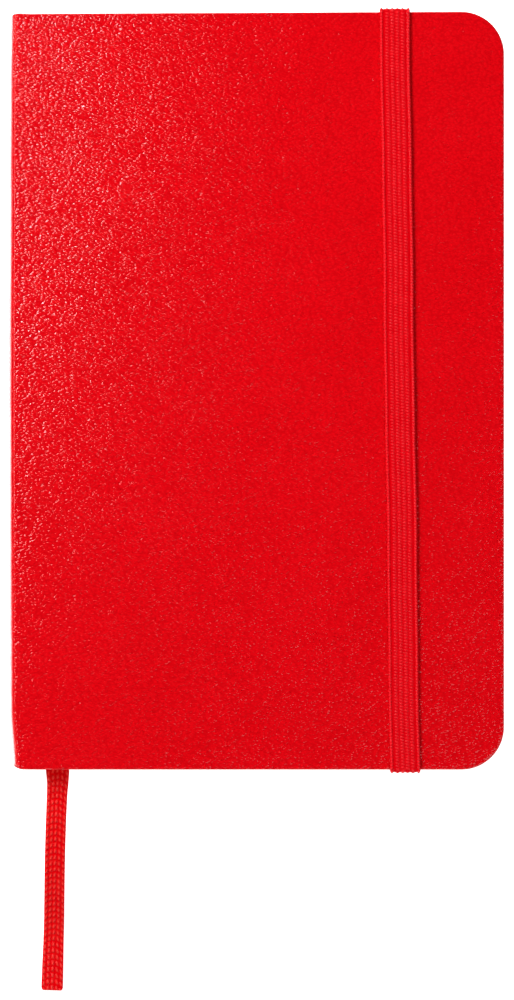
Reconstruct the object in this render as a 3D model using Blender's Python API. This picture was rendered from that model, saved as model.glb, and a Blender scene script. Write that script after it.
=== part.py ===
"""Pocket notebook: soft-cover sewn book block, ribbon marker, elastic closure and expandable rear pocket.

Metres, +Z up. The book lies on its back cover. +X runs from the spine to the fore-edge, +Y to the head.
The origin is at the middle of the back cover's outer face. Depths into the book, measured from the
spine's outer face, are called u, so x = u - WIDTH / 2.
"""
import math

import bmesh
import bpy
from mathutils import Matrix, Vector

MM = 0.001

# Cover
WIDTH = 91.3 * MM
HEIGHT = 140.0 * MM
CORNER_R = 7.9 * MM
SPINE_CORNER_R = 0.6 * MM
SKIN_T = 0.80 * MM
BOARD_T = 0.40 * MM
PAPER_T = 0.12 * MM
LAYER_GAP = 0.05 * MM
COVER_Z = 12.48 * MM
LIP_TOP_Z = 1.60 * MM
BOARD_INSET = 3.0 * MM
FRONT_SKIN_U = 1.10 * MM
FRONT_BOARD_U = 5.0 * MM
PASTEDOWN_INSET = 1.6 * MM

# Book block
PAGE_U = (1.35 * MM, 89.3 * MM)
PAGE_HEIGHT = 137.0 * MM
PAGE_R = 7.0 * MM
SIGNATURE_T = 0.60 * MM
SIGNATURES_PER_HALF = 6
FLYLEAF_Z = (2.37 * MM, 10.89 * MM)
BLOCK_Z = (2.54 * MM, 6.99 * MM)
MIDDLE_LEAF_Z = 6.84 * MM
MIDDLE_LEAF_T = 0.10 * MM

# Spine layers, each split at the middle of the block: (inner u, outer u), rear z range, front z range
SPINE_LAYERS = {
    "spine_skin": ((0.0, 0.80 * MM), (1.90 * MM, 6.40 * MM), (6.50 * MM, 12.18 * MM)),
    "spine_lining": ((0.85 * MM, 1.00 * MM), (2.05 * MM, 6.38 * MM), (6.52 * MM, 10.86 * MM)),
    "spine_mull": ((1.05 * MM, 1.30 * MM), (2.20 * MM, 6.38 * MM), (6.52 * MM, 10.80 * MM)),
}
SPINE_LAYER_HEIGHT = {"spine_skin": HEIGHT, "spine_lining": 134.0 * MM, "spine_mull": 118.0 * MM}

# Rear pocket
POCKET_U = (12.0 * MM, 88.5 * MM)
POCKET_HALF_HEIGHT = 66.0 * MM
POCKET_R = 6.0 * MM
POCKET_T = 0.35 * MM
POCKET_Z = 1.97 * MM
GUSSET_T = 0.45 * MM
GUSSET_Z = 1.47 * MM
GUSSET_WIDTH = 5.0 * MM
GUSSET_END_U = 83.0 * MM
HINGE_STRIP_U = (83.5 * MM, 88.3 * MM)
HINGE_STRIP_HALF = 60.0 * MM

# Elastic closure
ELASTIC_WIDTH = 5.5 * MM
ELASTIC_T = 0.45 * MM
ELASTIC_X = 26.4 * MM
ELASTIC_LEAN = -0.0135
ELASTIC_CLEAR = 0.05 * MM
ELASTIC_SLOT_Y = 58.0 * MM
ELASTIC_END_Z = 1.22 * MM
ELASTIC_BEND_R = 0.3 * MM
GROOVE_DEPTH = 0.55 * MM
GROOVE_MARGIN = 0.2 * MM

# Ribbon marker: its centreline from the glued head end through the pages, then the loose tail's
RIBBON_WIDTH = 4.0 * MM
RIBBON_T = 0.35 * MM
RIBBON_ROUTE_MM = [
    (-41.65, 67.0, 6.615),
    (-41.5, 60.0, 6.615),
    (-41.3, 50.0, 6.615),
    (-41.0, 40.0, 6.615),
    (-40.7, 30.0, 6.615),
    (-40.4, 20.0, 6.615),
    (-40.1, 10.0, 6.615),
    (-39.8, 0.0, 6.615),
    (-39.45, -10.0, 6.615),
    (-39.1, -20.0, 6.615),
    (-38.75, -30.0, 6.615),
    (-38.4, -40.0, 6.615),
    (-38.0, -50.0, 6.615),
    (-37.5, -60.0, 6.615),
    (-37.1, -68.0, 6.615),
    (-37.0, -71.7, 6.61),
]
RIBBON_TAIL_ROUTE_MM = [
    (-36.98, -72.0, 6.61),
    (-37.1, -75.0, 6.55),
    (-37.28, -79.0, 6.28),
    (-37.45, -83.5, 5.68),
    (-37.6, -88.0, 4.75),
    (-37.7, -92.0, 3.6),
    (-37.8, -95.5, 2.3),
    (-37.88, -98.5, 1.2),
    (-37.98, -101.5, 0.5),
    (-38.08, -104.5, 0.23),
    (-38.2, -108.3, 0.20),
    (-38.3, -111.9, 0.20),
]

RED = (0.66, 0.006, 0.012, 1.0)
DARK_RED = (0.50, 0.004, 0.010, 1.0)
IVORY = (0.86, 0.82, 0.70, 1.0)
CARD = (0.55, 0.48, 0.38, 1.0)
GAUZE = (0.80, 0.78, 0.72, 1.0)


def collection(name):
    """A collection of this name, linked to the scene."""
    made = bpy.data.collections.new(name)
    bpy.context.scene.collection.children.link(made)
    return made


def material(name, colour, roughness):
    """A plain Principled material, made once for each name."""
    found = bpy.data.materials.get(name)
    if found:
        return found
    made = bpy.data.materials.new(name)
    made.use_nodes = True
    shader = made.node_tree.nodes["Principled BSDF"]
    shader.inputs["Base Color"].default_value = colour
    shader.inputs["Roughness"].default_value = roughness
    return made


def u_to_x(u):
    """The x of a depth u from the spine's outer face."""
    return u - WIDTH / 2


def arc(cx, cy, radius, start_deg, end_deg, steps=8):
    """Points on a round corner, ends included."""
    angles = [math.radians(start_deg + (end_deg - start_deg) * i / steps) for i in range(steps + 1)]
    return [(cx + radius * math.cos(a), cy + radius * math.sin(a)) for a in angles]


def sheet_outline(u0, u1, height, fore_r, spine_r=0.0):
    """A rectangle from u0 to u1 with round corners at the fore-edge and, if asked, at the spine."""
    x0, x1, half = u_to_x(u0), u_to_x(u1), height / 2
    points = arc(x1 - fore_r, half - fore_r, fore_r, 0, 90)
    if spine_r:
        points += arc(x0 + spine_r, half - spine_r, spine_r, 90, 180, 3)
        points += arc(x0 + spine_r, spine_r - half, spine_r, 180, 270, 3)
    else:
        points += [(x0, half), (x0, -half)]
    return points + arc(x1 - fore_r, fore_r - half, fore_r, 270, 360)


def outline_mesh(name, points, thickness, matrix):
    """A closed mesh of a flat outline with this thickness, centred on its plane and then placed."""
    curve = bpy.data.curves.new(name, "CURVE")
    curve.dimensions = "2D"
    curve.fill_mode = "BOTH"
    curve.extrude = thickness / 2
    spline = curve.splines.new("POLY")
    spline.points.add(len(points) - 1)
    for point, (a, b) in zip(spline.points, points):
        point.co = (a, b, 0.0, 1.0)
    spline.use_cyclic_u = True
    holder = bpy.data.objects.new(name + "_curve", curve)
    bpy.context.scene.collection.objects.link(holder)
    evaluated = holder.evaluated_get(bpy.context.evaluated_depsgraph_get())
    mesh = bpy.data.meshes.new_from_object(evaluated)
    bpy.data.objects.remove(holder)
    bpy.data.curves.remove(curve)
    weld(mesh)
    mesh.transform(matrix)
    mesh.name = name
    return mesh


def weld(mesh):
    """Joins an extruded outline's loose caps to its sides."""
    working = bmesh.new()
    working.from_mesh(mesh)
    bmesh.ops.remove_doubles(working, verts=working.verts, dist=0.000001)
    bmesh.ops.recalc_face_normals(working, faces=working.faces)
    working.to_mesh(mesh)
    working.free()


def add_node(name, mesh, finish, origin=(0.0, 0.0, 0.0)):
    """A named object with its own material, its origin moved to the given joint point."""
    mesh.transform(Matrix.Translation(-Vector(origin)))
    mesh.materials.clear()
    mesh.materials.append(material(*finish))
    made = bpy.data.objects.new(name, mesh)
    made.location = origin
    parts.objects.link(made)
    return made


def flat_piece(name, outline, z0, thickness, finish, origin=(0.0, 0.0, 0.0)):
    """A flat sheet with this outline, standing on z0."""
    mesh = outline_mesh(name, outline, thickness, Matrix.Translation((0, 0, z0 + thickness / 2)))
    return add_node(name, mesh, finish, origin)


def box_mesh(name, low, high):
    """A box between two corners."""
    outline = [(low[0], low[1]), (high[0], low[1]), (high[0], high[1]), (low[0], high[1])]
    place = Matrix.Translation((0, 0, (low[2] + high[2]) / 2))
    return outline_mesh(name, outline, high[2] - low[2], place)


def box_piece(name, low, high, finish):
    """A box as a node."""
    return add_node(name, box_mesh(name, low, high), finish)


def cutter(name, mesh):
    """A Boolean operand, kept out of the model."""
    made = bpy.data.objects.new(name, mesh)
    made.hide_render = True
    made.display_type = "WIRE"
    cutters.objects.link(made)
    return made


def boolean(piece, operation, other):
    """An exact Boolean of a piece with a cutter."""
    modifier = piece.modifiers.new(other.name, "BOOLEAN")
    modifier.operation = operation
    modifier.solver = "EXACT"
    modifier.object = other


def lean(mesh):
    """Slants a mesh across the cover as the elastic runs."""
    matrix = Matrix.Identity(4)
    matrix[0][1] = ELASTIC_LEAN
    mesh.transform(matrix)
    return mesh


def elastic_cutters():
    """The two grooves in the back cover's outer face and the two slots that the elastic's ends pass."""
    half = ELASTIC_WIDTH / 2 + GROOVE_MARGIN
    x0, x1 = ELASTIC_X - half, ELASTIC_X + half
    slot_half = ELASTIC_T / 2 + GROOVE_MARGIN
    made = {"groove": [], "slot": []}
    for side, sign in (("head", 1), ("tail", -1)):
        ends = sorted((sign * (ELASTIC_SLOT_Y - slot_half), sign * (HEIGHT / 2 + 1 * MM)))
        groove = box_mesh("groove_" + side, (x0, ends[0], -1 * MM), (x1, ends[1], GROOVE_DEPTH))
        made["groove"].append(cutter("groove_" + side, lean(groove)))
        ends = sorted((sign * (ELASTIC_SLOT_Y - slot_half), sign * (ELASTIC_SLOT_Y + slot_half)))
        slot = box_mesh("slot_" + side, (x0, ends[0], -1 * MM), (x1, ends[1], 2 * MM))
        made["slot"].append(cutter("slot_" + side, lean(slot)))
    return made


def back_cover():
    """Leatherette skin with its lip at the spine, stiffening board and pastedown."""
    cuts = elastic_cutters()
    leather = ("red_leatherette", RED, 0.5)
    outline = sheet_outline(0, WIDTH, HEIGHT, CORNER_R, SPINE_CORNER_R)
    skin = flat_piece("back_cover_skin", outline, 0.0, SKIN_T, leather)
    lip_low = (u_to_x(0), -HEIGHT / 2 + SPINE_CORNER_R, SKIN_T / 2)
    lip = box_mesh("lip", lip_low, (u_to_x(SKIN_T), HEIGHT / 2 - SPINE_CORNER_R, LIP_TOP_Z))
    boolean(skin, "UNION", cutter("spine_lip", lip))
    for cut in cuts["groove"] + cuts["slot"]:
        boolean(skin, "DIFFERENCE", cut)
    inset = BOARD_INSET
    outline = sheet_outline(inset, WIDTH - 1 * MM, HEIGHT - 2 * MM, CORNER_R - 1 * MM)
    board_z = SKIN_T + LAYER_GAP
    board = flat_piece("back_cover_board", outline, board_z, BOARD_T, ("greyboard", CARD, 0.9))
    for cut in cuts["slot"]:
        boolean(board, "DIFFERENCE", cut)
    outline = sheet_outline(PASTEDOWN_INSET, WIDTH - 1.4 * MM, PAGE_HEIGHT, PAGE_R)
    pastedown_z = board_z + BOARD_T + LAYER_GAP
    flat_piece("back_pastedown", outline, pastedown_z, PAPER_T, ("endpaper", IVORY, 0.9))


def pocket():
    """Expandable card pocket: panel, two folded cloth gussets and the cloth strip that hinges it."""
    cloth = ("gusset_cloth", IVORY, 0.95)
    for side, sign in (("head", 1), ("tail", -1)):
        ends = sorted((sign * (POCKET_HALF_HEIGHT - GUSSET_WIDTH), sign * POCKET_HALF_HEIGHT))
        low = (u_to_x(POCKET_U[0] + 2 * MM), ends[0], GUSSET_Z)
        high = (u_to_x(GUSSET_END_U), ends[1], GUSSET_Z + GUSSET_T)
        box_piece("pocket_gusset_" + side, low, high, cloth)
    low = (u_to_x(HINGE_STRIP_U[0]), -HINGE_STRIP_HALF, GUSSET_Z)
    high = (u_to_x(HINGE_STRIP_U[1]), HINGE_STRIP_HALF, GUSSET_Z + GUSSET_T)
    box_piece("pocket_hinge_strip", low, high, cloth)
    outline = sheet_outline(*POCKET_U, 2 * POCKET_HALF_HEIGHT, POCKET_R)
    hinge = (u_to_x(POCKET_U[1]), 0.0, GUSSET_Z)
    flat_piece("pocket_panel", outline, POCKET_Z, POCKET_T, ("pocket_card", IVORY, 0.85), hinge)


def book_block():
    """Sewn signatures, flyleaves, the loose middle leaf and the layers glued along their backs."""
    paper = ("page_paper", IVORY, 0.95)
    page = sheet_outline(*PAGE_U, PAGE_HEIGHT, PAGE_R)
    pitch = SIGNATURE_T + LAYER_GAP
    count = SIGNATURES_PER_HALF
    for half, bottom in enumerate(BLOCK_Z):
        for i in range(count):
            number = 2 * count - half * count - i
            flat_piece("signature_%02d" % number, page, bottom + i * pitch, SIGNATURE_T, paper)
    hinge_x = u_to_x(PAGE_U[0])
    flat_piece("back_flyleaf", page, FLYLEAF_Z[0], PAPER_T, paper)
    flat_piece("front_flyleaf", page, FLYLEAF_Z[1], PAPER_T, paper, (hinge_x, 0, FLYLEAF_Z[1]))
    flat_piece("middle_leaf", page, MIDDLE_LEAF_Z, MIDDLE_LEAF_T, paper, (hinge_x, 0, MIDDLE_LEAF_Z))
    finishes = {
        "spine_skin": ("red_leatherette", RED, 0.5),
        "spine_lining": ("lining_paper", CARD, 0.9),
        "spine_mull": ("gauze", GAUZE, 1.0),
    }
    for layer, ((u0, u1), *halves) in SPINE_LAYERS.items():
        half_height = SPINE_LAYER_HEIGHT[layer] / 2
        for side, (z0, z1) in zip(("rear", "front"), halves):
            low = (u_to_x(u0), -half_height, z0)
            box_piece(layer + "_" + side, low, (u_to_x(u1), half_height, z1), finishes[layer])


def front_cover():
    """Leatherette skin, stiffening board and pastedown, hinged on the flexible joint at the spine."""
    hinge = (u_to_x(0.95 * MM), 0.0, COVER_Z + 0.15 * MM)
    skin_z = COVER_Z - SKIN_T
    board_z = skin_z - LAYER_GAP - BOARD_T
    pastedown_z = board_z - LAYER_GAP - PAPER_T
    leather = ("red_leatherette", RED, 0.5)
    outline = sheet_outline(FRONT_SKIN_U, WIDTH, HEIGHT, CORNER_R)
    flat_piece("front_cover_skin", outline, skin_z, SKIN_T, leather, hinge)
    outline = sheet_outline(FRONT_BOARD_U, WIDTH - 1 * MM, HEIGHT - 2 * MM, CORNER_R - 1 * MM)
    flat_piece("front_cover_board", outline, board_z, BOARD_T, ("greyboard", CARD, 0.9), hinge)
    outline = sheet_outline(PASTEDOWN_INSET, WIDTH - 1.4 * MM, PAGE_HEIGHT, PAGE_R)
    flat_piece("front_pastedown", outline, pastedown_z, PAPER_T, ("endpaper", IVORY, 0.9), hinge)


def band_outline(centreline, thickness):
    """The outline of a band of this thickness along an open centreline in a plane."""
    sides = ([], [])
    for i, (a, b) in enumerate(centreline):
        before = centreline[max(i - 1, 0)]
        after = centreline[min(i + 1, len(centreline) - 1)]
        along = Vector((after[0] - before[0], after[1] - before[1])).normalized()
        across = Vector((-along.y, along.x)) * thickness / 2
        sides[0].append((a + across.x, b + across.y))
        sides[1].append((a - across.x, b - across.y))
    return sides[0] + sides[1][::-1]


# Plane of an outline drawn in (y, z), with its thickness along x
SIDE_PLANE = Matrix(((0, 0, 1, 0), (1, 0, 0, 0), (0, 1, 0, 0), (0, 0, 0, 1)))


def elastic():
    """The closure band: over the front cover, round head and tail, in through slots in the back cover."""
    edge_y = HEIGHT / 2 + ELASTIC_CLEAR + ELASTIC_T / 2
    top_z = COVER_Z + ELASTIC_CLEAR + ELASTIC_T / 2
    low_z = ELASTIC_T / 2
    r = ELASTIC_BEND_R
    half = [(0.0, top_z)]
    half += arc(edge_y - r, top_z - r, r, 90, 0, 4)
    half += arc(edge_y - r, low_z + r, r, 0, -90, 4)
    half += [(ELASTIC_SLOT_Y + 0.3 * MM, low_z)]
    half += [(ELASTIC_SLOT_Y + 0.08 * MM, low_z + 0.09 * MM), (ELASTIC_SLOT_Y, low_z + 0.3 * MM)]
    half += [(ELASTIC_SLOT_Y, ELASTIC_END_Z)]
    other = [(-y, z) for y, z in half[:0:-1]]
    mesh = outline_mesh("elastic_band", band_outline(other + half, ELASTIC_T), ELASTIC_WIDTH, SIDE_PLANE)
    mesh.transform(Matrix.Translation((ELASTIC_X, 0, 0)))
    add_node("elastic_band", lean(mesh), ("red_elastic", DARK_RED, 0.8))


def ribbon(name, route_mm):
    """One stretch of the flat braided marker, its origin at the end that it swings about."""
    route = [Vector(point) * MM for point in route_mm]
    outline = band_outline([(p.y, p.z) for p in route], RIBBON_T)
    mesh = outline_mesh(name, outline, RIBBON_WIDTH, SIDE_PLANE)
    for vertex in mesh.vertices:
        nearest = min(route, key=lambda point: abs(point.y - vertex.co.y))
        vertex.co.x += nearest.x
    add_node(name, mesh, ("red_ribbon", DARK_RED, 0.7), tuple(route[0]))


for old in list(bpy.data.objects):
    bpy.data.objects.remove(old)
parts = collection("pocket_notebook")
cutters = collection("cutters")
back_cover()
pocket()
book_block()
front_cover()
elastic()
ribbon("ribbon_marker", RIBBON_ROUTE_MM)
ribbon("ribbon_tail", RIBBON_TAIL_ROUTE_MM)
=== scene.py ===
"""The pocket notebook's looks: leatherette skins, paper leaves, woven elastic, braided ribbon, pocket."""
import math

import bmesh
import bpy
import numpy as np
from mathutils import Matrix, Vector, noise


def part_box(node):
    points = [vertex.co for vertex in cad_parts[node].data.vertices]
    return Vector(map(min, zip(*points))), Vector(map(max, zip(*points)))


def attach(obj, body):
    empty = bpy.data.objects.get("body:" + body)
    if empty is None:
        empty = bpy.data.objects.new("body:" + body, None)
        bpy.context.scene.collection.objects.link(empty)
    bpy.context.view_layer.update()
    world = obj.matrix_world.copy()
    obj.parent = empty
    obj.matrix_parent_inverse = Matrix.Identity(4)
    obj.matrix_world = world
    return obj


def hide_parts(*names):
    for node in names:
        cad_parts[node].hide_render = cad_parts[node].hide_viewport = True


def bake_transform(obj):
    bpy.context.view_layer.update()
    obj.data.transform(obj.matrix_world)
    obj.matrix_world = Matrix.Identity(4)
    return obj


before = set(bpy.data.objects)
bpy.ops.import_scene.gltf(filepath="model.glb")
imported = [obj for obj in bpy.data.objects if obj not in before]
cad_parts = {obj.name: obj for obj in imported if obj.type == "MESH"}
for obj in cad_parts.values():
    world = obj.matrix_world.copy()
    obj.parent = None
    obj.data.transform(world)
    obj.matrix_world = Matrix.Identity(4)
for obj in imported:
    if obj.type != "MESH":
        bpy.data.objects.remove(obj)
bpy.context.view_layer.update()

MM = 0.001


def box_mm(node):
    """A CAD node's lowest and highest corners at rest, in millimetres."""
    return [np.array(corner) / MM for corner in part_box(node)]


# Places read from the frame, mm. u is the distance from the spine's line, SPINE_X, towards the fore-edge.
SKIN_LOW, SKIN_HIGH = box_mm("back_cover_skin")
COVER_TOP = box_mm("front_cover_skin")[1][2]
PAGE_LOW, PAGE_HIGH = box_mm("signature_07")
GUSSET_LOW, GUSSET_HIGH = box_mm("pocket_gusset_head")
SPINE_X = SKIN_LOW[0]
WIDTH = SKIN_HIGH[0] - SKIN_LOW[0]
HALF_H = SKIN_HIGH[1]

# Cover, mm
SKIN_T = 0.8
CORNER_R = 7.9
EDGE_R = 0.36
EDGE_STEPS = np.array([0.0, 0.02, 0.08, 0.18, EDGE_R])
JOINT_U = 0.2
JOINT_R = 1.1
SPINE_BULGE = 0.5
CREASE_U = 0.80
CREASE_DEPTH = 0.13
SLOPE_AT_SPINE = 0.06
SLOPE_REACH = 9.0
CELL = 0.5
BACK_SKIN_TOP = 2.6
GROOVE_DEPTH = 0.52
WAVE_ROOM = 0.12
INNER_SHARE = 0.4

# Paper, mm
IVORY = (0.86, 0.82, 0.70, 1)
RULE_PITCH = 6.0
RULE_REACH = 58.0
LEAVES = 8
LEAF_CORNER_R = 8.0
SIGNATURES = 12
FRONT_SIGNATURES = 6

# Elastic, mm
ELASTIC_X = 26.4
ELASTIC_LEAN = -0.0135
ELASTIC_W = 5.6
ELASTIC_BASE_T = 0.36
ELASTIC_BEAD = 0.23
ELASTIC_ROW = 0.56
ELASTIC_RIDGES = (-2.50, -1.42, -0.47, 0.47, 1.42, 2.50)
ELASTIC_SLOT_Y = 58.0

# Ribbon, mm: the route of the CAD model's two stretches
RIBBON_ROUTE = [
    (-41.65, 67.0, 6.615),
    (-41.5, 60.0, 6.615),
    (-41.3, 50.0, 6.615),
    (-41.0, 40.0, 6.615),
    (-40.7, 30.0, 6.615),
    (-40.4, 20.0, 6.615),
    (-40.1, 10.0, 6.615),
    (-39.8, 0.0, 6.615),
    (-39.45, -10.0, 6.615),
    (-39.1, -20.0, 6.615),
    (-38.75, -30.0, 6.615),
    (-38.4, -40.0, 6.615),
    (-38.0, -50.0, 6.615),
    (-37.5, -60.0, 6.615),
    (-37.1, -68.0, 6.615),
    (-36.98, -72.0, 6.61),
    (-37.1, -75.0, 6.55),
    (-37.28, -79.0, 6.28),
    (-37.45, -83.5, 5.68),
    (-37.6, -88.0, 4.75),
    (-37.7, -92.0, 3.6),
    (-37.8, -95.5, 2.3),
    (-37.88, -98.5, 1.2),
    (-37.98, -101.5, 0.55),
    (-38.08, -104.5, 0.36),
    (-38.2, -108.3, 0.34),
    (-38.3, -111.9, 0.34),
]
RIBBON_W = 4.0
RIBBON_BASE_T = 0.20
RIBBON_PLAIT = 0.20
RIBBON_COLUMNS = 5
RIBBON_ROW = 1.16
BRAID_START_Y = 69.5
BRAID_FULL_Y = 74.0

# Pocket's gussets, mm: the levels at which each of the fold's three layers starts and ends
GUSSET_T = 0.06
GUSSET_LEVELS = (1.50, 1.53, 1.66, 1.69, 1.84, 1.87)

# Camera, mm
CAMERA_X = 0.03
CAMERA_Y = -20.2
CAMERA_ABOVE_COVER = 900.0
VIEW_HEIGHT = 184.55
SENSOR = 36.0


# ---------- Materials ----------


class Shader:
    """Node shorthand for one Principled material that reads the object's own coordinates in metres."""

    def __init__(self, name):
        self.material = bpy.data.materials.new(name)
        self.material.use_nodes = True
        self.tree = self.material.node_tree
        self.shader = self.tree.nodes["Principled BSDF"]
        self.coords = self.node("ShaderNodeTexCoord").outputs["Object"]

    def node(self, kind, inputs=None, **settings):
        made = self.tree.nodes.new(kind)
        for key, value in settings.items():
            setattr(made, key, value)
        for key, value in (inputs or {}).items():
            self.put(made.inputs[key], value)
        return made

    def put(self, socket, value):
        if isinstance(value, bpy.types.NodeSocket):
            self.tree.links.new(value, socket)
        else:
            socket.default_value = value

    def set(self, values):
        for key, value in values.items():
            self.put(self.shader.inputs[key], value)

    def mapped(self, scale=(1, 1, 1), turn_deg=0.0, vector=None):
        rotation = (0, 0, math.radians(turn_deg))
        inputs = {"Vector": vector or self.coords, "Scale": scale, "Rotation": rotation}
        return self.node("ShaderNodeMapping", inputs).outputs["Vector"]

    def noise(self, size_mm, vector=None, detail=2.0, roughness=0.5):
        inputs = {"Vector": vector or self.coords, "Scale": 1 / (size_mm * MM)}
        inputs.update({"Detail": detail, "Roughness": roughness})
        return self.node("ShaderNodeTexNoise", inputs).outputs["Fac"]

    def cells(self, size_mm, vector, smooth=0.35):
        inputs = {"Vector": vector, "Scale": 1 / (size_mm * MM), "Smoothness": smooth}
        return self.node("ShaderNodeTexVoronoi", inputs, feature="SMOOTH_F1").outputs["Distance"]

    def math(self, operation, a, b=0.0):
        return self.node("ShaderNodeMath", {0: a, 1: b}, operation=operation).outputs[0]

    def times(self, a, b):
        return self.math("MULTIPLY", a, b)

    def spread(self, value, low, high, out_low=0.0, out_high=1.0):
        inputs = {"Value": value, "From Min": low, "From Max": high, "To Min": out_low, "To Max": out_high}
        return self.node("ShaderNodeMapRange", inputs).outputs["Result"]

    def mix(self, factor, a, b):
        made = self.node("ShaderNodeMix", data_type="RGBA")
        self.put(made.inputs[0], factor)
        self.put(made.inputs[6], a)
        self.put(made.inputs[7], b)
        return made.outputs[2]

    def bump(self, height, distance_mm, strength=1.0, below=None):
        inputs = {"Height": height, "Distance": distance_mm * MM, "Strength": strength}
        made = self.node("ShaderNodeBump", inputs)
        if below:
            self.put(made.inputs["Normal"], below)
        return made.outputs["Normal"]


def leatherette():
    """Pebbled red leatherette. Its pebbles lie on a slant, deeper beside the spine and at the head."""
    s = Shader("red_leatherette")
    warp = s.node("ShaderNodeTexNoise", {"Vector": s.coords, "Scale": 1 / (1.6 * MM), "Detail": 2.0})
    middle = (0.5, 0.5, 0.5)
    bend = s.node("ShaderNodeVectorMath", {0: warp.outputs["Color"], 1: middle}, operation="SUBTRACT")
    shift = s.node("ShaderNodeVectorMath", {0: bend.outputs[0], "Scale": 0.22 * MM}, operation="SCALE")
    place = s.node("ShaderNodeVectorMath", {0: s.coords, 1: shift.outputs[0]}, operation="ADD").outputs[0]
    pebbles = s.cells(0.50, s.mapped((0.78, 1.30, 1.0), -52, place), smooth=0.20)
    small = s.cells(0.30, place)
    creases = s.noise(2.6, s.mapped((1.0, 0.55, 1.0), 18, place), 3.0, 0.6)
    fine = s.noise(0.16, None, 2.0, 0.6)
    tone = s.spread(s.noise(14.0, None, 3.0), 0.3, 0.7)
    base = s.mix(tone, (0.800, 0.0010, 0.0050, 1), (0.840, 0.0014, 0.0060, 1))
    # Painted shade: the valleys between the pebbles are darkened in the base colour.
    base = s.mix(s.times(s.spread(pebbles, 0.35, 0.70), 0.5), base, (0.58, 0.0, 0.0030, 1))
    rough = s.spread(s.noise(5.0, None, 3.0), 0.3, 0.7, 0.13, 0.17)
    axes = s.node("ShaderNodeSeparateXYZ", {"Vector": s.coords})
    near_spine = s.spread(axes.outputs["X"], (SPINE_X + 8) * MM, (SPINE_X + 62) * MM, 0.40, 0.0)
    near_head = s.spread(axes.outputs["Y"], -60 * MM, 45 * MM, 0.0, 1.0)
    depth = s.math("ADD", s.times(near_spine, near_head), 0.50)
    off_edge = s.spread(axes.outputs["X"], (SPINE_X + 0.5) * MM, (SPINE_X + 1.1) * MM, 0.1, 1.0)
    depth = s.times(depth, off_edge)
    normal = s.bump(s.times(creases, -1.0), 0.16, 0.6)
    normal = s.bump(s.times(s.times(pebbles, depth), -1.0), 0.20, 1.0, normal)
    normal = s.bump(s.times(s.times(small, depth), -1.0), 0.03, 0.6, normal)
    normal = s.bump(fine, 0.003, 0.3, normal)
    s.set({"Base Color": base, "Roughness": rough, "Normal": normal, "IOR": 1.46, "Specular IOR Level": 0.42})
    return s.material


def thread(name, lit_top_colour, shaded_hollow_colour):
    """Yarn of an elastic or a braid: fine fibres, with a painted highlight on the tops of the stitches and
    painted shade in the hollows.
    """
    s = Shader(name)
    fibre = s.noise(0.22, s.mapped((1.0, 0.35, 1.0), 35), 3.0, 0.6)
    blotch = s.spread(s.noise(1.7), 0.3, 0.7, -0.06, 0.06)
    # The attribute read here paints light and shade into the colour: a painted highlight on the stitch tops,
    # painted shade in the hollows.
    top = s.node("ShaderNodeAttribute", attribute_name="painted_light").outputs["Fac"]
    base = s.mix(s.math("ADD", top, blotch), shaded_hollow_colour, lit_top_colour)
    normal = s.bump(fibre, 0.010, 0.5)
    s.set({"Base Color": base, "Normal": normal, "Roughness": 0.20, "Specular IOR Level": 0.06})
    return s.material


def paper(name, tint, ruled=False, fibre_mm=0.35):
    """Uncoated paper or card with faint fibres, and pale ruled lines where asked."""
    s = Shader(name)
    fibre = s.noise(fibre_mm, s.mapped((1.0, 2.4, 1.0), 20), 4.0, 0.65)
    cloud = s.noise(9.0)
    darker = tuple(c * 0.93 for c in tint[:3]) + (1,)
    mottle = s.math("ADD", s.times(fibre, 0.5), s.times(cloud, 0.5))
    base = s.mix(s.spread(mottle, 0.3, 0.7), darker, tint)
    if ruled:
        y = s.node("ShaderNodeSeparateXYZ", {"Vector": s.coords}).outputs["Y"]
        step = s.math("FRACT", s.math("ADD", s.math("DIVIDE", y, RULE_PITCH * MM), 100.0))
        line = s.math("LESS_THAN", step, 0.035)
        inside = s.math("LESS_THAN", s.math("ABSOLUTE", y), RULE_REACH * MM)
        base = s.mix(s.times(s.times(line, inside), 0.45), base, (0.30, 0.33, 0.36, 1))
    s.set({"Base Color": base, "Normal": s.bump(fibre, 0.012, 0.5), "Roughness": 0.82})
    return s.material


def cloth(name, tint, pitch_mm):
    """Plain-woven cloth, its threads crossing along X and Y."""
    s = Shader(name)
    axes = s.node("ShaderNodeSeparateXYZ", {"Vector": s.coords})
    turn = 2 * math.pi / (pitch_mm * MM)
    wave_x = s.math("SINE", s.times(axes.outputs["X"], turn))
    wave_y = s.math("SINE", s.times(axes.outputs["Y"], turn))
    weave = s.times(wave_x, wave_y)
    fuzz = s.noise(pitch_mm * 0.4)
    darker = tuple(c * 0.8 for c in tint[:3]) + (1,)
    base = s.mix(s.spread(s.math("ADD", weave, fuzz), -0.6, 1.4), darker, tint)
    s.set({"Base Color": base, "Normal": s.bump(weave, 0.05, 0.7), "Roughness": 0.9, "Sheen Weight": 0.1})
    return s.material


def plain_floor():
    """A white table that stays white under the soft shadows."""
    s = Shader("white_table")
    base = s.mix(s.spread(s.noise(30.0), 0.3, 0.7), (0.93, 0.93, 0.93, 1), (0.95, 0.95, 0.95, 1))
    s.set({"Base Color": base, "Roughness": 0.9})
    s.set({"Emission Color": (1, 1, 1, 1), "Emission Strength": 0.9})
    return s.material


# ---------- Mesh helpers ----------


def piece(name, points_mm, faces, material, sharp_deg=38):
    """A smooth-shaded mesh object from points in millimetres."""
    mesh = bpy.data.meshes.new(name)
    mesh.from_pydata([tuple(p) for p in np.asarray(points_mm) * MM], [], faces)
    mesh.update()
    mesh.shade_smooth()
    mesh.set_sharp_from_angle(angle=math.radians(sharp_deg))
    mesh.materials.append(material)
    made = bpy.data.objects.new(name, mesh)
    bpy.context.scene.collection.objects.link(made)
    return made


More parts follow.
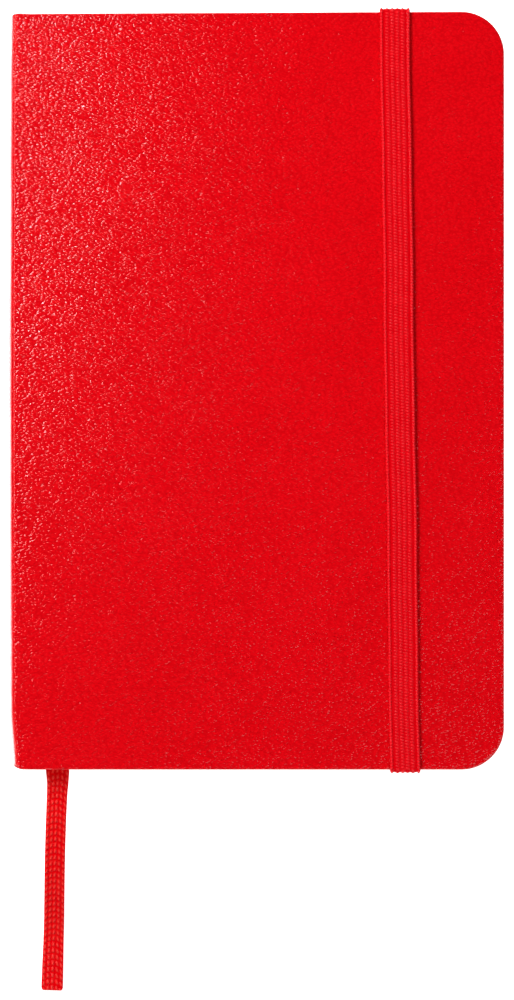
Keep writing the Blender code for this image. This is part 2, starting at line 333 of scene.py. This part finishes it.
def mark_painted_light(obj, values):
    """Stores the painted light of each point, 0 for painted shade in the hollows and 1 for a painted
    highlight on the tops, for thread() to read.
    """
    layer = obj.data.attributes.new("painted_light", "FLOAT", "POINT")
    layer.data.foreach_set("value", np.clip(values, 0, 1).astype(np.float32).ravel())


def smooth_step(value, low, high):
    """0 below low, 1 above high, and a smooth rise between them."""
    t = np.clip((value - low) / (high - low), 0, 1)
    return t * t * (3 - 2 * t)


def grid_faces(rows, cols, start=0, flip=False):
    """Quads over a grid of rows x cols points that begin at this index."""
    faces = []
    for r in range(rows - 1):
        for c in range(cols - 1):
            a = start + r * cols + c
            quad = (a, a + 1, a + cols + 1, a + cols)
            faces.append(quad[::-1] if flip else quad)
    return faces


def even(low, high, step):
    """Evenly spaced values between two ends."""
    return np.linspace(low, high, max(2, int(round((high - low) / step)) + 1))


def cover_rows():
    """Y of the rows across a cover: close together at the rounded edges and the corners."""
    straight = HALF_H - CORNER_R
    corner = [straight + CORNER_R * math.sin(math.radians(a)) for a in range(4, 88, 4)]
    upper = np.concatenate([even(0, straight, CELL), corner, HALF_H - EDGE_STEPS])
    upper = np.unique(np.round(upper, 3))
    keep = [upper[0]]
    for y in upper[1:]:
        if y - keep[-1] > 0.015:
            keep.append(y)
    keep[-1] = HALF_H
    upper = np.array(keep)
    return np.concatenate([-upper[:0:-1], upper])


def fore_limit(y):
    """How far the cover reaches from the spine at this y, with its round corners."""
    over = np.clip(np.abs(y) - (HALF_H - CORNER_R), 0, CORNER_R)
    return WIDTH - CORNER_R + np.sqrt(np.maximum(CORNER_R**2 - over**2, 0))


def edge_distance(u, y):
    """How far a point of the cover lies inside its outline. The spine isn't an edge."""
    qu = u - (WIDTH - CORNER_R)
    qy = np.abs(y) - (HALF_H - CORNER_R)
    corner = CORNER_R - np.hypot(qu, qy)
    straight = np.minimum(WIDTH - u, HALF_H - np.abs(y))
    return np.maximum(np.where((qu > 0) & (qy > 0), corner, straight), 0)


def hand_cut(points, share):
    """The small irregularities of a soft cover: a bowed spine, a tail corner drawn in, a head out of square.
    Share is how far a face follows the bow, 1 for all of it."""
    x, y, z = points[..., 0], points[..., 1], points[..., 2]
    u = x - SPINE_X
    near_spine = np.clip(1 - u / 30, 0, 1)
    bow = -0.22 * (1 - (y / HALF_H) ** 2) + 0.62 * smooth_step(-y, 58, 70) + 0.12 * smooth_step(y, 58, 70)
    x = x + near_spine * bow * share
    out = 1 - u / WIDTH
    y = y - 0.42 * out * smooth_step(y, 20, 70)
    round_end = 1 - smooth_step(u, -0.4, 2.2)
    y = y + 0.8 * round_end * smooth_step(-y, 66, 70)
    y = y + 0.18 * np.exp(-(((u - 1.9) / 0.9) ** 2)) * smooth_step(y, 69, 70)
    return np.stack([x, y, z], -1)


def relief(x, y, u):
    """Low waves of the cover, the finer puckers beside the spine and a crease that fades out to the tail."""
    values = np.zeros(x.size)
    for i, (a, b, distance) in enumerate(zip(x.ravel(), y.ravel(), u.ravel())):
        near = math.exp(-max(distance, 0) / 14)
        wave = 0.075 * noise.noise((a / 23, b / 31, 0.3))
        pucker = 0.030 * noise.noise((a / 2.3 + 7, b / 3.1, 1.7))
        pucker += 0.016 * noise.noise((a / 1.1, b / 1.5, 4.1))
        values[i] = wave + pucker * (0.25 + 1.15 * near)
    crease = np.exp(-(((u - CREASE_U) / 0.15) ** 2)) * smooth_step(y, -62, -10)
    return values.reshape(x.shape) - CREASE_DEPTH * crease


def sag(u):
    """How far the cover's top lies below its highest level, as it slopes to the spine."""
    return SLOPE_AT_SPINE * SLOPE_REACH * np.exp(-u / SLOPE_REACH)


def section_top(u_values):
    """Outer surface of the front half of the wrap: up the joint's curve, then on to the fore-edge."""
    angles = np.radians(np.arange(180, 90, -4))
    u = np.concatenate([JOINT_U + JOINT_R + JOINT_R * np.cos(angles), u_values])
    z = np.concatenate([COVER_TOP - JOINT_R + JOINT_R * np.sin(angles), np.full(len(u_values), COVER_TOP)])
    return u, z - sag(u)


def section_normals(u, z, flip=1.0):
    """Unit normals of a section's line, pointing out of the book."""
    du, dz = np.gradient(u), np.gradient(z)
    length = np.hypot(du, dz)
    return -dz / length * flip, du / length * flip


def wrap_shell(name, u, z, material, flip=1.0, groove=None):
    """A closed skin along a section, with rounded edges. Its inner face follows the waves by INNER_SHARE."""
    nu, nz = section_normals(u, z, flip)
    rows = cover_rows()
    cols = len(u)
    begin = CORNER_R + 2
    grid_u = np.tile(u, (len(rows), 1))
    limit = fore_limit(rows)[:, None]
    stretch = np.clip((grid_u - begin) / (WIDTH - begin), 0, None)
    grid_u = np.where(grid_u > begin, begin + stretch * (limit - begin), grid_u)
    grid_y = np.tile(rows[:, None], (1, cols))
    inside = edge_distance(grid_u, grid_y)
    drop = EDGE_R - np.sqrt(np.maximum(EDGE_R**2 - np.maximum(EDGE_R - inside, 0) ** 2, 0))
    fade = smooth_step(inside, 0, 4)
    lift = relief(grid_u + SPINE_X, grid_y, grid_u) * fade - WAVE_ROOM
    layers = []
    for side, depth, share in ((1, 0.0, 1.0), (-1, SKIN_T, INNER_SHARE)):
        off = -depth - side * drop + lift * share
        if groove is not None and side > 0:
            off = off - groove(grid_u + SPINE_X, grid_y)
        pts = np.stack([grid_u + SPINE_X + nu * off, grid_y, np.tile(z, (len(rows), 1)) + nz * off], -1)
        layers.append(hand_cut(pts, share).reshape(-1, 3))
    return closed_sheet(name, layers, len(rows), cols, material)


def closed_sheet(name, layers, rows, cols, material):
    """A closed solid from the two faces of a sheet, each a grid of rows x cols points."""
    n = rows * cols
    faces = grid_faces(rows, cols) + grid_faces(rows, cols, n, True)
    for r in range(rows - 1):
        for c, turn in ((0, False), (cols - 1, True)):
            a, b = r * cols + c, (r + 1) * cols + c
            quad = (a, b, b + n, a + n)
            faces.append(quad[::-1] if turn else quad)
    for c in range(cols - 1):
        for r, turn in ((0, True), (rows - 1, False)):
            a, b = r * cols + c, r * cols + c + 1
            quad = (a, b, b + n, a + n)
            faces.append(quad[::-1] if turn else quad)
    made = piece(name, np.concatenate(layers), faces, material)
    face_out(made)
    return made


def face_out(obj):
    """Turns a closed mesh's faces outward."""
    working = bmesh.new()
    working.from_mesh(obj.data)
    bmesh.ops.recalc_face_normals(working, faces=working.faces)
    working.to_mesh(obj.data)
    working.free()


# ---------- Covers and spine ----------


def cover_columns():
    """u of the columns of a cover's flat part."""
    near = even(JOINT_U + JOINT_R, 3.2, 0.15)[:-1]
    return np.concatenate([near, even(3.2, WIDTH - 0.9, CELL), WIDTH - EDGE_STEPS[::-1]])


def elastic_groove(x, y):
    """How deep the back cover is let in for the elastic's ends."""
    across = np.abs(x - (ELASTIC_X + ELASTIC_LEAN * y))
    return GROOVE_DEPTH * (1 - smooth_step(across, 2.85, 3.25)) * smooth_step(np.abs(y), 57.2, 57.8)


def spine_line(z):
    """u of the spine's outer face at this height: bowed out between the two joints."""
    top = COVER_TOP - JOINT_R - sag(np.array(JOINT_U))
    rise = np.clip((z - JOINT_R) / (top - JOINT_R), 0, 1)
    return JOINT_U - SPINE_BULGE * np.sin(math.pi * rise)


def covers(material):
    """The skin in three pieces that share one section: one wrap at rest."""
    u, z = section_top(cover_columns())
    front = wrap_shell("front_cover_leatherette", u, z, material)
    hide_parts("front_cover_skin")
    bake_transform(front)
    back_z = COVER_TOP - z - sag(u)
    rise = np.linspace(BACK_SKIN_TOP, back_z[0], 6)[:-1]
    back_u = np.concatenate([spine_line(rise), u])
    back_z = np.concatenate([rise, back_z])
    back = wrap_shell("back_cover_leatherette", back_u, back_z, material, -1.0, elastic_groove)
    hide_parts("back_cover_skin")
    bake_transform(back)
    top = section_top(np.zeros(1))[1][0]
    z = np.concatenate([even(BACK_SKIN_TOP, 6.0, 0.4)[:-1], even(6.0, 6.9, 0.1)[:-1], even(6.9, top, 0.4)])
    spine = wrap_shell("spine_leatherette", spine_line(z), z, material)
    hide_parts("spine_skin_rear", "spine_skin_front")
    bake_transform(spine)


def spine_strip(layer, material):
    """The lining or the gauze on the backs of the signatures, in one piece over both halves of the pages."""
    rear, front = "spine_" + layer + "_rear", "spine_" + layer + "_front"
    low, high = box_mm(rear)[0], box_mm(front)[1]
    y, z = np.meshgrid(even(low[1], high[1], 4.0), even(low[2], high[2], 0.15), indexing="ij")
    layers = [np.stack([np.full(y.shape, x), y, z], -1).reshape(-1, 3) for x in (low[0], high[0])]
    made = closed_sheet("spine_" + layer, layers, *y.shape, material)
    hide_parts(rear, front)
    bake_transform(made)


# ---------- Paper ----------


def leaf_outline(grow, corner):
    """Outline of one leaf as x, y: straight at the fold, round at the fore-edge corners."""
    x0, x1 = PAGE_LOW[0], PAGE_HIGH[0] + grow
    half = PAGE_HIGH[1]
    points = [(x0, half), (x0, -half)]
    for sign in (-1, 1):
        angles = np.radians(np.arange(0, 91, 9))
        x_arc = x1 - corner + corner * np.sin(angles)
        y_arc = sign * (half - corner + corner * np.cos(angles))
        arc = list(zip(x_arc, y_arc))
        points += arc if sign < 0 else arc[::-1]
    return np.array(points)


def add_leaf(points, faces, outline, z, thickness):
    """One closed thin leaf, added to a growing mesh."""
    n, start = len(outline), len(points)
    for level in (z, z + thickness):
        points.extend((x, y, level) for x, y in outline)
    faces.append(tuple(range(start + n - 1, start - 1, -1)))
    faces.append(tuple(range(start + n, start + 2 * n)))
    for i in range(n):
        j = (i + 1) % n
        faces.append((start + i, start + j, start + n + j, start + n + i))


def signatures(material):
    """Each signature is eight leaves. Inner leaves creep out at the fore-edge, and none lies exactly true."""
    rng = np.random.default_rng(11)
    for number in range(1, SIGNATURES + 1):
        node = "signature_%02d" % number
        low, high = box_mm(node)
        pitch = (high[2] - low[2]) / LEAVES
        points, faces = [], []
        for i in range(LEAVES):
            creep = 0.10 * (1 - abs(i - (LEAVES - 1) / 2) / LEAVES * 2)
            outline = leaf_outline(creep + rng.normal(0, 0.035), LEAF_CORNER_R + rng.normal(0, 0.05))
            outline[:, 1] += rng.normal(0, 0.02)
            add_leaf(points, faces, outline, low[2] + i * pitch, pitch * 0.86)
        made = piece("leaves_%02d" % number, points, faces, material, 30)
        face_out(made)
        body = "front_pages" if number <= FRONT_SIGNATURES else "rear_pages"
        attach(made, body)
        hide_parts(node)


# ---------- Elastic ----------


def rounded_path(corners, radii, step):
    """Points every step along straight runs joined by arcs, in a plane."""
    points = [np.array(corners[0], float)]
    for before, corner, after, radius in zip(corners, corners[1:], corners[2:], radii):
        before, corner, after = (np.array(p, float) for p in (before, corner, after))
        a, b = (before - corner), (after - corner)
        a, b = a / np.linalg.norm(a), b / np.linalg.norm(b)
        half = math.acos(np.clip(a @ b, -1, 1)) / 2
        reach = radius / math.tan(half)
        centre = corner + (a + b) / np.linalg.norm(a + b) * radius / math.sin(half)
        start, end = corner + a * reach - centre, corner + b * reach - centre
        total = math.pi - 2 * half
        for t in np.linspace(0, 1, 9):
            arc = (math.sin((1 - t) * total) * start + math.sin(t * total) * end) / math.sin(total)
            points.append(centre + arc)
    points.append(np.array(corners[-1], float))
    points = np.array(points)
    along = np.concatenate([[0], np.cumsum(np.linalg.norm(np.diff(points, axis=0), axis=1))])
    at = even(0, along[-1], step)
    return np.stack([np.interp(at, along, points[:, k]) for k in range(points.shape[1])], -1), at


def elastic_height(w, s):
    """Outer face of the band: columns of small beads over a fine twill, the two selvages the boldest."""
    height = 0.30 + 0.05 * np.cos(2 * math.pi * (s / ELASTIC_ROW + w * 1.05))
    for k, centre in enumerate(ELASTIC_RIDGES):
        bead = 0.5 + 0.5 * np.cos(2 * math.pi * (s / ELASTIC_ROW + 0.37 * k))
        if k in (0, len(ELASTIC_RIDGES) - 1):
            local = np.clip((w - centre) / 0.30, -1, 1)
            height = np.maximum(height, (1 - local**2) * (0.50 + 0.80 * bead))
        else:
            height = height + 0.80 * bead**1.3 * np.exp(-(((w - centre) / 0.25) ** 2))
    gap = np.exp(-(((np.abs(w) - 2.08) / 0.13) ** 2))
    return ELASTIC_BEAD * (height - 0.15 * gap)


def elastic(material):
    """The woven closure band, from slot to slot round head, front cover and tail."""
    t = ELASTIC_BASE_T
    side_y = HALF_H + 0.04 + t / 2
    top_z = COVER_TOP + 0.06 + t / 2
    low_z = ELASTIC_BEAD * 1.4 + t / 2
    end = (ELASTIC_SLOT_Y, 1.15)
    half = [end, (ELASTIC_SLOT_Y, low_z), (side_y, low_z), (side_y, top_z)]
    corners = [(-y, z) for y, z in half] + half[::-1]
    radii = [0.3, 0.35, 0.45, 0.45, 0.35, 0.3]
    path, at = rounded_path(corners, radii, 0.11)
    tangent = np.gradient(path, axis=0)
    tangent /= np.linalg.norm(tangent, axis=1)[:, None]
    out = np.stack([-tangent[:, 1], tangent[:, 0]], -1)
    half_w = ELASTIC_W / 2
    top_w = np.linspace(-half_w, half_w, 49)
    low_w = np.linspace(half_w - 0.05, -half_w + 0.05, 8)
    w = np.concatenate([top_w, low_w])
    rows, cols = len(path), len(w)
    grid_w, grid_s = np.meshgrid(w, at)
    upper = np.arange(cols) < len(top_w)
    edge = np.sqrt(np.clip((half_w - np.abs(grid_w)) / 0.3, 0, 1))
    height = np.where(upper[None, :], t / 2 * edge + elastic_height(grid_w, grid_s), -t / 2)
    wander = 0.05 * np.sin(at / 9.0) + 0.035 * np.sin(at / 3.7 + 1)
    y = path[:, 0][:, None] + out[:, 0][:, None] * height
    z = path[:, 1][:, None] + out[:, 1][:, None] * height
    x = ELASTIC_X + ELASTIC_LEAN * y + grid_w + wander[:, None]
    points = np.stack([x, y, z], -1).reshape(-1, 3)
    made = piece("elastic_weave", points, tube_faces(rows, cols), material, 60)
    face_out(made)
    # Painted light: the bead tops and selvages get the painted highlight, the hollows and gaps the painted
    # shade.
    painted_light = (elastic_height(grid_w, grid_s) / ELASTIC_BEAD - 0.25) / 0.85
    mark_painted_light(made, np.where(upper[None, :], painted_light, 0.2))
    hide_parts("elastic_band")
    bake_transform(made)


def tube_faces(rows, cols):
    """Quads of a tube of rows x cols points, with both ends closed."""
    faces = []
    for r in range(rows - 1):
        for c in range(cols):
            d = (c + 1) % cols
            faces.append((r * cols + c, r * cols + d, (r + 1) * cols + d, (r + 1) * cols + c))
    faces.append(tuple(range(cols))[::-1])
    faces.append(tuple(range((rows - 1) * cols, rows * cols)))
    return faces


# ---------- Ribbon ----------


def smooth_route(points, step):
    """Points every step on a Catmull-Rom curve through the route."""
    pts = [Vector(p) for p in points]
    pts = [pts[0] * 2 - pts[1]] + pts + [pts[-1] * 2 - pts[-2]]
    dense = []
    for a, b, c, d in zip(pts, pts[1:], pts[2:], pts[3:]):
        for i in range(12):
            t = i / 12
            square = (2 * a - 5 * b + 4 * c - d) * t * t
            cube = (3 * b - a - 3 * c + d) * t**3
            dense.append(0.5 * (2 * b + (c - a) * t + square + cube))
    dense.append(pts[-2])
    dense = np.array([tuple(p) for p in dense])
    along = np.concatenate([[0], np.cumsum(np.linalg.norm(np.diff(dense, axis=0), axis=1))])
    at = even(0, along[-1], step)
    return np.stack([np.interp(at, along, dense[:, k]) for k in range(3)], -1), at


def plait_face(w, s, width):
    """The flat braid's columns of rice-shaped stitches, as height and as a painted highlight on each stitch.
    """
    place = np.clip(w / width + 0.5, 0, 0.9999) * RIBBON_COLUMNS
    column = np.floor(place)
    off_middle = column - (RIBBON_COLUMNS - 1) / 2
    row = s / RIBBON_ROW - 0.11 * off_middle**2
    along = row - np.floor(row)
    lean = np.where(off_middle < 0, -0.30, 0.30)
    across = np.cos(math.pi / 2 * np.clip((place - column - 0.5 - lean * (along - 0.5)) / 0.47, -1, 1))
    rise = np.sin(math.pi * along**1.4)
    # The second value is a painted highlight on the upper part of each stitch, with painted shade around it.
    return RIBBON_PLAIT * (0.1 + across * rise), across**4 * rise**1.5


def ribbon(material):
    """The braided marker, glued in at the head, out at the tail and down to the table.
    It lies flatter between the leaves, down to BRAID_START_Y from the middle."""
    path, at = smooth_route(RIBBON_ROUTE, 0.12)
    tangent = np.gradient(path, axis=0)
    tangent /= np.linalg.norm(tangent, axis=1)[:, None]
    across = np.cross(tangent, (0, 0, 1))
    across /= np.linalg.norm(across, axis=1)[:, None]
    up = np.cross(across, tangent)
    end = np.clip((at[-1] - at) / 0.5, 0, 1)
    spread = 0.95 + 0.17 * np.exp(-(((path[:, 1] + 69) / 3.5) ** 2))
    spread = spread + 0.06 * smooth_step(-path[:, 1], 100, 111)
    width = RIBBON_W * (0.86 + 0.14 * np.sqrt(end)) * spread
    side = np.linspace(-0.5, 0.5, 41)
    share = np.concatenate([side, side[-2:0:-1]])
    cols = len(share)
    face = np.where(np.arange(cols) < len(side), 1.0, -1.0)
    grid_w = share[None, :] * width[:, None]
    grid_s = np.tile(at[:, None], (1, cols))
    rim = np.sqrt(np.clip((0.5 - np.abs(share)) / 0.09, 0, 1))[None, :]
    plait, painted_highlight = plait_face(grid_w, grid_s, width[:, None])
    outside = smooth_step(-path[:, 1], BRAID_START_Y, BRAID_FULL_Y)[:, None]
    stitches = plait * (0.35 + 0.65 * outside) * np.minimum(rim * 1.2, 1)
    height = face[None, :] * (RIBBON_BASE_T / 2 * rim + stitches) * (0.6 + 0.4 * outside)
    points = path[:, None, :] + across[:, None, :] * grid_w[..., None] + up[:, None, :] * height[..., None]
    made = piece("ribbon_braid", points.reshape(-1, 3), tube_faces(len(path), cols), material, 60)
    face_out(made)
    mark_painted_light(made, painted_highlight)
    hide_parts("ribbon_marker", "ribbon_tail")
    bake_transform(made)


# ---------- Pocket ----------


def gusset(name, node, sign, material):
    """A cloth gusset in a Z fold between the back cover and the pocket's panel."""
    x0, x1 = GUSSET_LOW[0], GUSSET_HIGH[0]
    outer, inner = GUSSET_HIGH[1], GUSSET_LOW[1]
    z = GUSSET_LEVELS
    turn = [(outer - 0.1, z[0]), (inner + 0.2, z[1]), (inner, (z[1] + z[2]) / 2), (inner + 0.2, z[2])]
    turn += [(outer - 0.2, z[3] - 0.01), (outer, z[3] + 0.06), (outer - 0.2, z[4]), (inner + 0.1, z[5])]
    profile, _ = rounded_path(turn, [0.01, 0.05, 0.01, 0.01, 0.05, 0.01], 0.25)
    xs = even(x0, x1, 1.0)
    tangent = np.gradient(profile, axis=0)
    tangent /= np.linalg.norm(tangent, axis=1)[:, None]
    out = np.stack([-tangent[:, 1], tangent[:, 0]], -1) * GUSSET_T / 2
    loop = np.concatenate([profile + out, (profile - out)[::-1]])
    points = [(x, sign * y, z_) for x in xs for y, z_ in loop]
    made = piece(name, points, tube_faces(len(xs), len(loop)), material, 60)
    face_out(made)
    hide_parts(node)
    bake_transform(made)


# ---------- Stage ----------


def camera():
    """Straight above the front cover."""
    data = bpy.data.cameras.new("camera")
    data.sensor_width = SENSOR
    data.lens = SENSOR * CAMERA_ABOVE_COVER / VIEW_HEIGHT
    data.clip_end = 20
    made = bpy.data.objects.new("camera", data)
    made.location = (CAMERA_X * MM, CAMERA_Y * MM, (COVER_TOP + CAMERA_ABOVE_COVER) * MM)
    bpy.context.scene.collection.objects.link(made)
    bpy.context.scene.camera = made


def area_light(name, place, aim, size, watts):
    """A square softbox aimed at a point."""
    data = bpy.data.lights.new(name, "AREA")
    data.shape = "SQUARE"
    data.size = size
    data.energy = watts
    made = bpy.data.objects.new(name, data)
    made.location = place
    made.rotation_euler = (Vector(aim) - Vector(place)).to_track_quat("-Z", "Y").to_euler()
    bpy.context.scene.collection.objects.link(made)


def stage():
    """White table, a softbox and a small lamp at the upper left, a fill at the right and a low, pale sky."""
    points = [(-1500, -1500, 0), (1500, -1500, 0), (1500, 1500, 0), (-1500, 1500, 0)]
    floor = piece("white_table", points, [(0, 1, 2, 3)], plain_floor())
    area_light("key", (-0.66, 0.42, 0.78), (0, 0, 0), 0.60, 10.4)
    area_light("near_left", (-0.15, 0.14, 0.21), (-0.02, 0.03, 0), 0.04, 0.17)
    area_light("fill", (0.50, -0.70, 0.80), (0, 0, 0), 0.80, 4.8)
    world = bpy.data.worlds.new("sky")
    world.use_nodes = True
    tree = world.node_tree
    direction = tree.nodes.new("ShaderNodeTexCoord").outputs["Generated"]
    split = tree.nodes.new("ShaderNodeSeparateXYZ")
    level = tree.nodes.new("ShaderNodeMapRange")
    background = tree.nodes["Background"]
    tree.links.new(direction, split.inputs[0])
    tree.links.new(split.outputs["Z"], level.inputs["Value"])
    for key, value in {"From Min": 0.15, "From Max": 0.75, "To Min": 0.40, "To Max": 0.02}.items():
        level.inputs[key].default_value = value
    tree.links.new(level.outputs["Result"], background.inputs["Strength"])
    background.inputs["Color"].default_value = (1, 1, 1, 1)
    bpy.context.scene.world = world
    bpy.context.scene.view_settings.view_transform = "Standard"


camera()
stage()

covers(leatherette())
pages = paper("page_paper", IVORY, ruled=True)
signatures(pages)
# Each yarn's first colour is its painted highlight on the stitch tops, its second its painted shade in the
# hollows.
elastic(thread("elastic_yarn", (1.0, 0.020, 0.030, 1), (0.72, 0.0, 0.004, 1)))
ribbon(thread("ribbon_yarn", (1.0, 0.060, 0.045, 1), (0.80, 0.0, 0.003, 1)))
spine_strip("lining", paper("lining_paper", (0.60, 0.52, 0.40, 1), fibre_mm=0.5))
spine_strip("mull", cloth("gauze", (0.84, 0.81, 0.72, 1), 0.5))
pocket_cloth = cloth("pocket_cloth", (0.84, 0.79, 0.66, 1), 0.32)
gusset("gusset_fold_head", "pocket_gusset_head", 1, pocket_cloth)
gusset("gusset_fold_tail", "pocket_gusset_tail", -1, pocket_cloth)

# CAD nodes that keep their own shape and get a better material
CARRIED_OVER = {
    "back_cover_board": paper("greyboard", (0.50, 0.44, 0.35, 1), fibre_mm=0.6),
    "back_pastedown": paper("endpaper", IVORY),
    "pocket_hinge_strip": pocket_cloth,
    "pocket_panel": paper("pocket_card", (0.85, 0.80, 0.68, 1), fibre_mm=0.5),
    "middle_leaf": pages,
}
SAME_AS = {
    "front_cover_board": "back_cover_board",
    "front_pastedown": "back_pastedown",
    "back_flyleaf": "back_pastedown",
    "front_flyleaf": "back_pastedown",
}
for node, like in SAME_AS.items():
    CARRIED_OVER[node] = CARRIED_OVER[like]
for node, material in CARRIED_OVER.items():
    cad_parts[node].material_slots[0].material = material
